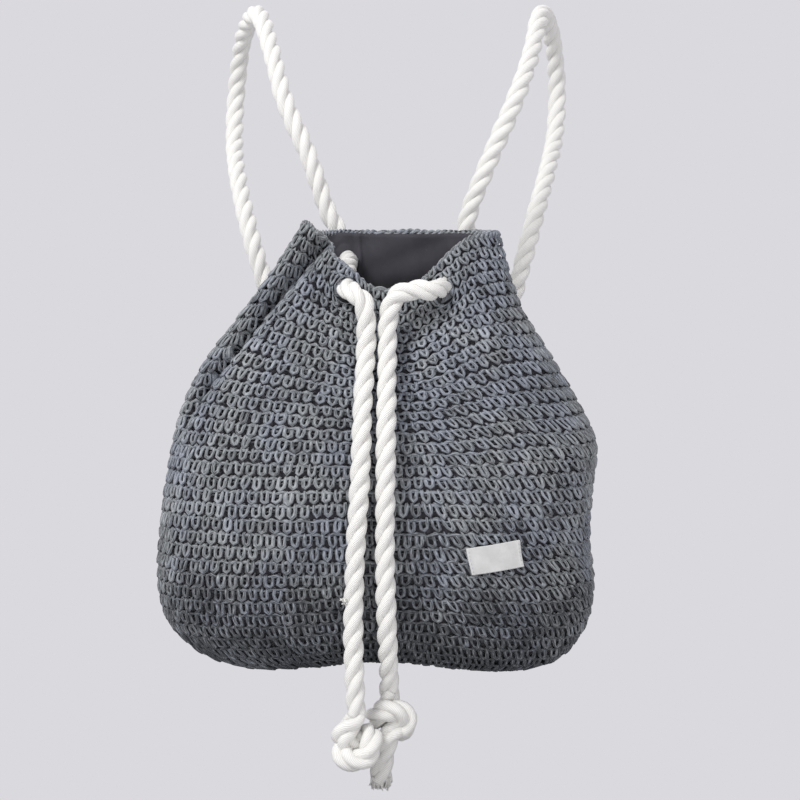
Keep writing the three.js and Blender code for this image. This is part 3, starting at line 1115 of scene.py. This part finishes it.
@dataclass
class LiningBag:
    """The grey cotton bag inside the straw, sewn to it under the border.

    It hangs in small creases, is wrinkled where its back shows in the mouth and has a seam there.
    """

    shape: BagShape = SHAPE
    depth: float = 5.6
    top: float = 0.99
    hole: float = 10.2
    thickness: float = 0.9
    bottom: float = 0.1
    bottom_gap: float = 0.4
    creases: float = 31.0
    crease: float = 0.25
    wrinkle: float = 1.5
    slack: float = 0.3
    back_turns: Tuple[float, float, float, float] = (0.3, 0.42, 0.62, 0.7)
    seam: float = 1.9
    seam_place: float = -38.0
    seam_width: float = 1.8
    cells: Tuple[int, int] = (400, 110)
    size: Tuple[float, float] = (900.0, 460.0)

    def surface(self, turn: Points, share: Points) -> Points:
        """Points of the lining's outer face.

        Args:
            turn: turns round the bag.
            share: from 0 at the foot to 1 at the lining's top.

        Returns:
            The points in millimetres.
        """
        second = share * self.top
        out = normals(self.shape.wall, turn, second)
        bare = self.shape.wall(turn, second)
        start, full, last, end = self.back_turns
        back = ease(start, full, turn) * (1.0 - ease(last, end, turn))
        crease = self.crease * np.sin(turn * TURN * self.creases + 9.0 * share)
        # Two slanting waves cross, so the wrinkles have no rows
        waves = np.sin(turn * 43.0 + 14.0 * share) * np.sin(share * 71.0 + turn * 26.0)
        seam = np.exp(-((bare[:, 0] - self.seam_place) / self.seam_width) ** 2)
        crease -= back * (self.wrinkle * waves + self.slack + self.seam * seam)
        return self.shape.opened(bare - out * (self.depth - crease)[:, None], self.hole)

    def build(self) -> bpy.types.Object:
        """Makes the lining's wall and bottom as one cloth.

        Returns:
            The object.
        """
        raised = np.array([0.0, 0.0, self.depth + self.bottom_gap])

        def place(u: Points, v: Points) -> Points:
            """Points of the wall, or of the bottom for a v below its share.

            Args:
                u: turns round the bag.
                v: shares of the way from the bottom's middle line to the top.

            Returns:
                The points in millimetres.
            """
            outward = np.clip(v / self.bottom, 0.0, 1.0)
            wall = self.surface(u, np.clip((v - self.bottom) / (1.0 - self.bottom), 0.0, 1.0))
            step = self.surface(u, np.zeros_like(u)) - self.shape.base(u, np.ones_like(u)) - raised
            floor = self.shape.base(u, outward) + raised + step * outward[:, None] ** 3
            return np.where((v >= self.bottom)[:, None], wall, floor)

        mesh = grid_mesh("Lining", *self.cells, place, self.size)
        made = new_object("cotton_lining", mesh, LINING)
        wall = made.modifiers.new("Cloth thickness", "SOLIDIFY")
        wall.thickness = self.thickness * MM
        wall.offset = -1.0
        return made


# Rope


@dataclass(frozen=True)
class RopeRoute:
    """One rope's points in millimetres, from the stopper inside to the knot in front."""

    name: str
    points: Sequence[Tuple[float, float, float]]


def smooth_route(points: Sequence[Tuple[float, float, float]], count: int) -> Points:
    """A centripetal Catmull-Rom curve through points.

    Args:
        points: the route's points.
        count: how many evenly spaced points to return.

    Returns:
        The curve's points.
    """
    given = np.array(points, dtype=float)
    first = 2 * given[0] - given[1]
    last = 2 * given[-1] - given[-2]
    padded = np.vstack([first, given, last])
    fine = []
    for i in range(1, len(padded) - 2):
        p0, p1, p2, p3 = padded[i - 1:i + 3]
        d0 = max(np.linalg.norm(p1 - p0) ** 0.5, 1e-4)
        d1 = max(np.linalg.norm(p2 - p1) ** 0.5, 1e-4)
        d2 = max(np.linalg.norm(p3 - p2) ** 0.5, 1e-4)
        m1 = ((p1 - p0) / d0 - (p2 - p0) / (d0 + d1) + (p2 - p1) / d1) * d1
        m2 = ((p2 - p1) / d1 - (p3 - p1) / (d1 + d2) + (p3 - p2) / d2) * d1
        t = np.linspace(0.0, 1.0, 60, endpoint=False)[:, None]
        fine.append((2 * t ** 3 - 3 * t ** 2 + 1) * p1 + (t ** 3 - 2 * t ** 2 + t) * m1
                    + (3 * t ** 2 - 2 * t ** 3) * p2 + (t ** 3 - t ** 2) * m2)
    fine.append(given[-1:])
    return even(np.vstack(fine), count)


def even(line: Points, count: int) -> Points:
    """Spaces a line's points evenly.

    Args:
        line: points along the line.
        count: how many to return.

    Returns:
        The evenly spaced points.
    """
    steps = np.linalg.norm(np.diff(line, axis=0), axis=1)
    run = np.concatenate([[0.0], np.cumsum(steps)])
    at = np.linspace(0.0, run[-1], count)
    return np.stack([np.interp(at, run, line[:, k]) for k in range(3)], 1)


def run_length(line: Points) -> float:
    """The length of a line of points."""
    return float(np.linalg.norm(np.diff(line, axis=0), axis=1).sum())


def frames_along(line: Points) -> Tuple[Points, Points]:
    """Two directions across a line that turn with it as little as they can.

    Args:
        line: evenly spaced points.

    Returns:
        The two unit directions at each point.
    """
    ahead = np.gradient(line, axis=0)
    ahead /= np.linalg.norm(ahead, axis=1)[:, None]
    side = np.cross(ahead[0], (0.0, 1.0, 0.0))
    if np.linalg.norm(side) < 0.1:
        side = np.cross(ahead[0], (1.0, 0.0, 0.0))
    sides = []
    for way in ahead:
        side = side - way * (side @ way)
        side = side / np.linalg.norm(side)
        sides.append(side)
    first = np.array(sides)
    return first, np.cross(ahead, first)


@dataclass
class LaidRope:
    """Three-strand cotton rope laid right-handed along a line, in millimetres.

    A strand's middle is offset from the rope's, and one turn of the strands is lay long.
    """

    radius: float = 8.5
    strand: float = 4.45
    offset: float = 4.2
    lay: float = 52.0
    step: float = 2.4
    sides: int = 11

    def meshes(self, line: Points, swell: Points,
               cuts: Sequence[int]) -> List[List[bpy.types.Mesh]]:
        """The strands' tubes along a line, cut into pieces that join without a seam.

        Args:
            line: the rope's evenly spaced centre line in millimetres.
            swell: how much thicker the rope is at each point.
            cuts: the points at which a new piece starts.

        Returns:
            Three tubes for each piece.
        """
        total = run_length(line)
        first, second = frames_along(line)
        run = np.linspace(0.0, total, len(line))
        ends = [0, *cuts, len(line) - 1]
        made: List[List[bpy.types.Mesh]] = [[] for _ in range(len(ends) - 1)]
        for number in range(3):
            angle = TURN * (number / 3 + run / self.lay)
            away = first * np.cos(angle)[:, None] + second * np.sin(angle)[:, None]
            path = line + away * (self.offset * swell)[:, None]
            one, two = frames_along(path)
            for piece, (low, high) in enumerate(zip(ends[:-1], ends[1:])):
                part = slice(low, high + 1)
                made[piece].append(self.tube(path[part], one[part], two[part], swell[part]))
        return made

    def tube(self, path: Points, one: Points, two: Points, swell: Points) -> bpy.types.Mesh:
        """One strand's tube.

        Args:
            path: the strand's centre line.
            one: a direction across it at each point.
            two: the other direction across it.
            swell: how much thicker it is at each point.

        Returns:
            The tube's mesh.
        """
        rings = len(path) - 1

        def place(u: Points, v: Points) -> Points:
            """Points of the tube.

            Args:
                u: shares of the way along the strand.
                v: shares of the way round it.

            Returns:
                The points in millimetres.
            """
            cell = np.round(u * rings).astype(int)
            angle = (v * TURN)[:, None]
            round_it = one[cell] * np.cos(angle) + two[cell] * np.sin(angle)
            return path[cell] + round_it * (self.strand * swell[cell])[:, None]

        return grid_mesh("Strand", rings, self.sides, place,
                         (run_length(path), TURN * self.strand), cap=True)


class KnotKind(Enum):
    """The three ways in which a knot on a rope is laid, as points in millimetres.

    Each point is right, up and towards the front from the knot's middle.
    """

    THREE_LOBES = (
        (-0.5, 21.0, 0.0), (-3.5, 15.5, 1.0), (-10.5, 10.0, 4.0), (-14.0, 3.0, 2.0),
        (-6.0, -2.5, -5.0), (5.5, 0.5, -9.0), (12.5, 5.0, -4.0), (13.5, -3.0, 3.0),
        (9.0, -12.0, 6.0), (-2.0, -15.5, 7.0), (-12.5, -12.0, 4.0), (-12.0, -6.0, -6.0),
        (-2.0, -7.0, -12.0), (8.0, -12.0, -11.0), (12.0, -15.0, -10.0))
    WRAPPED = (
        (-1.4, 26.4, 0.0), (-2.0, 18.0, -2.0), (-1.0, 8.0, -5.0), (3.0, -4.0, -6.0),
        (8.5, -10.5, -2.0), (14.0, -6.0, 3.0), (14.5, 3.0, 5.0), (7.0, 8.5, 9.0),
        (-5.0, 9.0, 10.0), (-13.0, 5.0, 4.0), (-12.5, -2.0, -7.0), (-4.0, -3.0, -15.0),
        (6.0, -2.0, -14.0), (9.0, -3.0, -5.0), (4.5, -7.0, 5.0), (-2.0, -14.0, 9.0),
        (-6.0, -24.0, 7.0), (-8.5, -37.0, 5.0), (-9.5, -53.0, 4.0))
    STOPPER = (
        (0.0, 18.0, 0.0), (-3.5, 14.0, 1.0), (-10.5, 8.0, 4.0), (-12.0, 1.0, 2.0),
        (-6.0, -4.5, -5.0), (5.5, -1.5, -9.0), (11.5, 3.0, -4.0), (11.5, -5.0, 3.0),
        (8.0, -11.0, 6.0), (-2.0, -12.5, 7.0), (-10.5, -9.0, 4.0), (-10.0, -4.0, -6.0),
        (-2.0, -4.0, -12.0), (6.0, -8.0, -11.0), (9.0, -12.0, -10.0))


@dataclass
class RopePiece:
    """One rope of the bag with its knots, in millimetres.

    tufts are the places of loose yarns as shares of the rope. tight narrows the knots, and full
    thickens their rope over a short way at each end of the plain rope.
    """

    route: RopeRoute
    kind: KnotKind
    frayed: bool
    tufts: Tuple[float, ...] = ()
    route_points: int = 700
    knot_points: int = 200
    tight: float = 0.88
    full: float = 1.13
    swell_from: float = -6.0
    swell_to: float = 12.0
    tuft_seed: int = 50
    tuft_yarns: int = 26
    tuft_foot: float = 6.6
    tuft_lengths: Tuple[float, float] = (2.4, 3.8)
    fray_seed: int = 31
    fray_yarns: int = 260
    fray_lengths: Tuple[float, float] = (7.5, 10.0)
    fray_radius: float = 8.6
    fray_overlap: float = 5.0
    fray_splay: Tuple[float, float] = (-0.25, 0.12)
    rope: LaidRope = field(default_factory=LaidRope)

    def build(self) -> None:
        line = smooth_route(self.route.points, self.route_points)
        length = run_length(line)
        knot_line = self.knot_line(line[-1], None, self.kind)
        stopper_line = self.knot_line(line[0], line[0] - line[5], KnotKind.STOPPER)[::-1]
        whole = np.vstack([stopper_line[:-1], line, knot_line[1:]])
        total = run_length(whole)
        count = round(total / self.rope.step)
        whole = even(whole, count + 1)
        begin = round(run_length(stopper_line) / total * count)
        stop = begin + round(length / total * count)
        spot = np.arange(count + 1)
        past = np.maximum(begin - spot, spot - stop) * self.rope.step
        swell = 1.0 + (self.full - 1.0) * ease(self.swell_from, self.swell_to, past)
        # Laid rope is a little thicker and thinner along its length
        swell = swell + 0.02 * np.sin(spot * 0.11) + 0.015 * np.sin(spot * 0.37)
        parts = self.rope.meshes(whole, swell, [begin, stop])
        for number, share in enumerate(self.tufts):
            place = whole[begin + round(share * (stop - begin))]
            parts[1].append(self.tuft(place, number))
        if self.frayed:
            parts[2].append(self.fray(whole[-1], whole[-1] - whole[-5]))
        name = self.route.name
        stopper = new_object("stopper_knot_" + name, join("Stopper", parts[0]), ROPE)
        body = new_object("rope_" + name, join("Rope", parts[1]), ROPE)
        knot = new_object("knot_end_" + name, join("Knot", parts[2]), ROPE)
        declare(body, "cotton_rope", "strap_" + name, "drawcord_" + name)
        declare(knot, "cotton_rope", "knot_" + name)
        declare(stopper, "cotton_rope", "stopper_" + name)
        LOG.info("rope %s is %.0f mm long", name, length)

    def knot_line(self, end: Points, way: Optional[Points], kind: KnotKind) -> Points:
        """A knot's line, starting at an end of the rope.

        Args:
            end: the rope's end in millimetres.
            way: the direction in which the rope arrives, or None where it hangs.
            kind: how the knot is laid.

        Returns:
            Evenly spaced points.
        """
        given = np.array(kind.value) - np.array(kind.value)[0]
        given[:, (0, 2)] *= self.tight
        knot = smooth_route([(x, -front, up) for x, up, front in given], self.knot_points)
        if way is not None:
            aim = Vector((0.0, 0.0, -1.0)).rotation_difference(Vector(way)).to_matrix()
            knot = knot @ np.array(aim).T
        return knot + end

    def tuft(self, place: Points, number: int) -> bpy.types.Mesh:
        """A few yarns that have worked loose on the left of the rope.

        Args:
            place: the rope's middle there, in millimetres.
            number: which tuft, for its own shape.

        Returns:
            Their mesh.
        """
        rng = np.random.default_rng(self.tuft_seed + number)
        away = np.array((-1.0, -0.25, 0.1))
        away /= np.linalg.norm(away)
        count = self.tuft_yarns
        feet = place + away * self.tuft_foot + rng.normal(0.0, 1.1, (count, 3))
        ways = away + rng.normal(0.0, 0.5, (count, 3))
        return self.yarns(feet, ways, rng.uniform(*self.tuft_lengths, count), rng)

    def yarns(self, feet: Points, ways: Points, lengths: Points, rng: np.random.Generator
              ) -> bpy.types.Mesh:
        """Loose yarns, thick at the foot and thin at the tip.

        Args:
            feet: where each one starts.
            ways: the direction of each.
            lengths: how long each is.
            rng: gives each its bend and thickness.

        Returns:
            Their mesh.
        """
        def tube(u: Points, v: Points) -> Points:
            """Points of a straight yarn."""
            return np.stack([u, np.cos(v * TURN), np.sin(v * TURN)], 1)

        master = grid_mesh("Yarn", 4, 4, tube, (12.0, 4.0))
        flat = mesh_points(master)
        share = flat[:, 0]
        spots = []
        for foot, way, length in zip(feet, ways, lengths):
            way = way / np.linalg.norm(way)
            side = np.cross(way, (0.3, 1.0, 0.2))
            side /= np.linalg.norm(side)
            front = np.cross(way, side)
            bend = rng.normal(0.0, 0.12, 3) * length
            thick = rng.uniform(0.6, 1.1) * (1.0 - 0.4 * share)
            centre = foot + np.outer(share * length, way) + np.outer(share * share, bend)
            spots.append(centre + thick[:, None] * (np.outer(flat[:, 1], side)
                                                    + np.outer(flat[:, 2], front)))
        return copies("Yarns", master, np.array(spots), np.full(len(spots), 0.5))

    def fray(self, end: Points, way: Points) -> bpy.types.Mesh:
        """The cut end's loose yarns.

        Args:
            end: where they start, in millimetres.
            way: the direction in which the rope ends.

        Returns:
            Their mesh.
        """
        rng = np.random.default_rng(self.fray_seed)
        count = self.fray_yarns
        way = way / np.linalg.norm(way)
        side = np.cross(way, (0.0, 1.0, 0.0))
        side /= np.linalg.norm(side)
        front = np.cross(way, side)
        angle = rng.uniform(0.0, TURN, (count, 1))
        far = self.fray_radius * np.sqrt(rng.uniform(0.0, 1.0, (count, 1)))
        splay = side * np.cos(angle) + front * np.sin(angle)
        feet = end + far * splay - way * self.fray_overlap
        ways = way + splay * rng.uniform(*self.fray_splay, (count, 1)) * far / self.fray_radius
        return self.yarns(feet, ways, rng.uniform(*self.fray_lengths, count), rng)


LEFT_ROUTE = RopeRoute("left", (
    (-57, -86, -460), (-57.4, -74.2, -460), (-57.5, -63, -460), (-61, -53, -444), (-72, -51, -400),
    (-98, -48, -315), (-125, -38, -228), (-138, -19, -187), (-151, 22, -137), (-156, 62, -104),
    (-155, 80, -58), (-146, 52, -8), (-130, 2, 8.5), (-115, -44, -29), (-103, -68, -71),
    (-80, -82, -124), (-64, -86, -170), (-50.5, -90, -195), (-46, -101, -209), (-45.5, -126, -214),
    (-46, -150, -220), (-46.5, -178, -230), (-45, -196, -234), (-39.5, -209, -236),
    (-31, -214, -244), (-28.5, -214, -262), (-28.5, -216, -282), (-29.5, -225, -303),
    (-31, -234, -326),
    (-32, -243.5, -355), (-33, -249.5, -385), (-35, -254, -417), (-37, -256, -450),
    (-39, -256, -516), (-38, -257, -555), (-36.5, -257, -588)))
RIGHT_ROUTE = RopeRoute("right", (
    (38, -87, -460), (38.4, -75, -460), (38.5, -64, -460), (42, -53, -444), (55, -51, -400),
    (82, -48, -315), (106, -40, -237), (124, -14, -175), (137, 22, -133), (146, 62, -101),
    (149, 80, -56), (142, 52, -8), (129.5, 2, 8.5), (117, -44, -33), (103, -68, -70),
    (77, -83, -130), (61, -87, -172), (57, -94, -197), (53, -108, -211), (49.5, -130, -217),
    (46, -150, -220), (40, -181, -230), (34.5, -201, -233), (27.5, -213.5, -234.5), (13, -214, -234),
    (-3, -213, -239), (-9.5, -213, -256), (-10.5, -217, -284), (-11, -226, -307),
    (-11.3, -236, -332), (-11.6, -243, -355), (-12, -249, -385), (-12.3, -253, -417),
    (-12.5, -255, -450), (-11.5, -255, -500), (-10, -245, -540), (-9, -229, -570)))


# Label


@dataclass
class WovenLabel:
    """A blank woven label sewn to the front, in millimetres.

    Its middle lies at a turn round the bag and a share of the way up, and it is tilted in
    radians. The ends are turned under, so the tape is a fold thicker there.
    """

    width: float = 45.0
    height: float = 23.0
    thickness: float = 0.7
    turn: float = 0.078
    share: float = 0.302
    tilt: float = 0.15
    lift: float = 1.5
    sag: float = 0.35
    fold: float = 0.5
    fold_edge: Tuple[float, float] = (0.05, 0.075)
    seams: Tuple[float, float] = (0.035, 0.965)
    stitches: int = 6
    first_stitch: float = 0.09
    stitch: float = 0.09
    stitch_pitch: float = 0.145
    half_thread: float = 0.32
    shape: BagShape = SHAPE

    def surface(self, u: Points, v: Points) -> Points:
        """Points of the label just off the straw.

        Args:
            u: shares of the label's width.
            v: shares of its height.

        Returns:
            The points in millimetres.
        """
        x = (u - 0.5) * self.width
        y = (v - 0.5) * self.height
        across = x * math.cos(self.tilt) - y * math.sin(self.tilt)
        up = x * math.sin(self.tilt) + y * math.cos(self.tilt)
        middle = np.array([self.turn]), np.array([self.share])
        near = 0.002
        rate, climb = [np.linalg.norm(self.shape.wall(middle[0] + right, middle[1] + higher)
                                      - self.shape.wall(middle[0] - right, middle[1] - higher))
                       / (2.0 * near) for right, higher in ((near, 0.0), (0.0, near))]
        turn = self.turn + across / rate
        share = self.share + up / climb
        out = normals(self.shape.wall, turn, share)
        folded = 1.0 - ease(*self.fold_edge, np.minimum(u, 1.0 - u))
        rise = self.lift + self.sag * np.sin(u * 11.0) * np.sin(v * 5.0) + self.fold * folded
        return self.shape.wall(turn, share) + out * rise[:, None]

    def build(self) -> bpy.types.Object:
        """Makes the label with folded ends.

        Returns:
            The label.
        """
        mesh = grid_mesh("Label", 60, 30, self.surface, (self.width, self.height), merge=False)
        made = new_object("woven_label", mesh, TAPE)
        wall = made.modifiers.new("Tape thickness", "SOLIDIFY")
        wall.thickness = self.thickness * MM
        wall.offset = 0.0
        return made

    def sewing(self) -> bpy.types.Object:
        """Makes the thread stitches along the label's two ends.

        Returns:
            The stitches.
        """
        parts = []
        for edge in self.seams:
            for number in range(self.stitches):
                low = self.first_stitch + number * self.stitch_pitch

                def dash(u: Points, v: Points, edge: float = edge, low: float = low) -> Points:
                    """Points of one thread stitch.

                    Args:
                        u: shares of the way along it.
                        v: shares of the way round it.
                        edge: its share of the label's width.
                        low: where it starts, as a share of the label's height.

                    Returns:
                        The points in millimetres.
                    """
                    middle = self.surface(np.full_like(u, edge), low + self.stitch * u)
                    angle = v * TURN
                    arch = 0.2 + 0.35 * np.sin(u * math.pi)
                    out = normals(self.shape.wall, np.full_like(u, self.turn),
                                  np.full_like(u, self.share))
                    side = np.cross(out, (0.0, 0.0, 1.0))
                    return (middle + out * (arch + self.half_thread * np.sin(angle))[:, None]
                            + side * (self.half_thread * np.cos(angle))[:, None])

                parts.append(grid_mesh("Dash", 6, 6, dash, (3.0, 2.0), cap=True))
        return new_object("label_sewing", join("Sewing", parts), THREAD)


# Studio


@dataclass(frozen=True)
class Lamp:
    """A soft round light that points at the bag, in metres and watts."""

    name: str
    place: Tuple[float, float, float]
    size: float
    power: float


@dataclass
class Studio:
    """An even backdrop, soft lights and the camera at the photograph's angle, in metres.

    The focal length is in pixels of the picture. The flag is a black card that hangs under the
    bag, so that little light comes from below.
    """

    target: Tuple[float, float, float] = (0.0, -0.165, -0.331)
    distance: float = 2.2
    elevation: float = 5.0
    picture: float = 800.0
    focal: float = 2552.0
    backdrop: str = "dad9de"
    lamps: Tuple[Lamp, ...] = (
        Lamp("Key", (-1.5, -1.8, 1.9), 1.2, 70.0), Lamp("Back", (0.6, 2.2, 1.6), 1.6, 30.0),
        Lamp("Fill", (0.3, -2.4, -0.75), 1.0, 8.0))
    flag_place: Tuple[float, float, float] = (-0.02, -0.1, -0.69)
    flag_radius: float = 0.2

    def camera(self) -> None:
        """Creates the camera and makes it the scene's."""
        data = bpy.data.cameras.new("Camera")
        data.sensor_width = 36.0
        data.lens = self.focal / self.picture * data.sensor_width
        made = bpy.data.objects.new("Camera", data)
        bpy.context.scene.collection.objects.link(made)
        angle = math.radians(self.elevation)
        away = Vector((0.0, -math.cos(angle), math.sin(angle)))
        made.location = Vector(self.target) + away * self.distance
        made.rotation_euler = (-away).to_track_quat("-Z", "Y").to_euler()
        bpy.context.scene.camera = made

    def light(self, lamp: Lamp) -> None:
        """Adds one light.

        Args:
            lamp: the light's place, size and power.
        """
        data = bpy.data.lights.new(lamp.name, "AREA")
        data.energy = lamp.power
        data.shape = "DISK"
        data.size = lamp.size
        made = bpy.data.objects.new(lamp.name, data)
        bpy.context.scene.collection.objects.link(made)
        made.location = lamp.place
        aim = Vector(self.target) - Vector(lamp.place)
        made.rotation_euler = aim.to_track_quat("-Z", "Y").to_euler()

    def flag(self) -> None:
        """Hangs the black card, out of the camera's sight."""
        work = bmesh.new()
        bmesh.ops.create_circle(work, cap_ends=True, segments=48, radius=self.flag_radius)
        bmesh.ops.translate(work, verts=work.verts, vec=self.flag_place)
        mesh = bpy.data.meshes.new("Flag")
        work.to_mesh(mesh)
        work.free()
        card = new_object("black_flag", mesh, FLAG)
        card.visible_camera = False

    def build(self) -> None:
        """Adds the backdrop, the lights and the card."""
        world = bpy.data.worlds.new("Studio")
        world.use_nodes = True
        sky = world.node_tree.nodes["Background"]
        sky.inputs["Color"].default_value = linear(self.backdrop)
        sky.inputs["Strength"].default_value = 1.0
        bpy.context.scene.world = world
        bpy.context.scene.view_settings.view_transform = "Standard"
        for lamp in self.lamps:
            self.light(lamp)
        self.flag()


def main() -> None:
    """Builds the studio and the backpack, and declares its pieces."""
    logging.basicConfig(level=logging.INFO)
    studio = Studio()
    studio.camera()
    RopePiece(LEFT_ROUTE, KnotKind.THREE_LOBES, False, (0.928,)).build()
    RopePiece(RIGHT_ROUTE, KnotKind.WRAPPED, True).build()
    for piece in [*Crochet().build(), Border().build()]:
        declare(piece, "straw", "straw_bag")
    lining = LiningBag().build()
    declare(lining, "lining", "lining")
    label = WovenLabel().build()
    declare(label, "label", "label")
    sewing = WovenLabel().sewing()
    declare(sewing, "label")
    studio.build()


if __name__ == "__main__":
    main()
